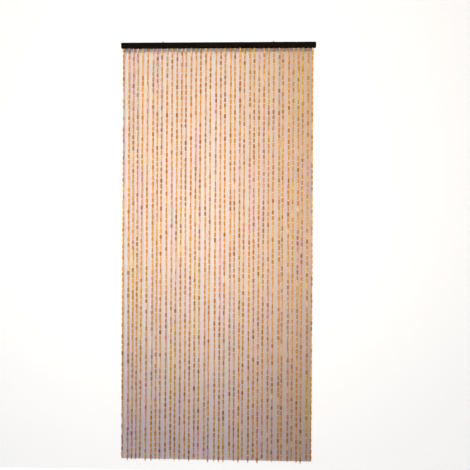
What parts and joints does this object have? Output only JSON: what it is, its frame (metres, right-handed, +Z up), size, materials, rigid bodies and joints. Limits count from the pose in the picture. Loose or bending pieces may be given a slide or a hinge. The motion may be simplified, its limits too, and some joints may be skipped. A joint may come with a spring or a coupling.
{
  "type": "bead curtain with rail",
  "caption": "Door curtain of hanging strands of flat oval wooden beads and small round spacers, on a black rail with screw eyes in its top edge.",
  "frame": {"origin": "middle of the rail's flat back face, which lies against the lintel or wall above a doorway", "axes": "+Z up, the strands hang towards -Z; +Y out of the rail's back, towards the wall; the front faces -Y; +X to the right seen from the front"},
  "size_m": [0.9, 0.018, 1.9476],
  "materials": {
    "rail_lacquer": "satin black lacquer",
    "bead_wood": "clear satin varnish over honey and ochre wood",
    "eye_steel": "zinc plated wire"
  },
  "bodies": {
    "root": {"rail": "rail_lacquer", "bead_strands": "bead_wood", "screw_eye_left": "eye_steel", "screw_eye_right": "eye_steel"}
  },
  "joints": []
}
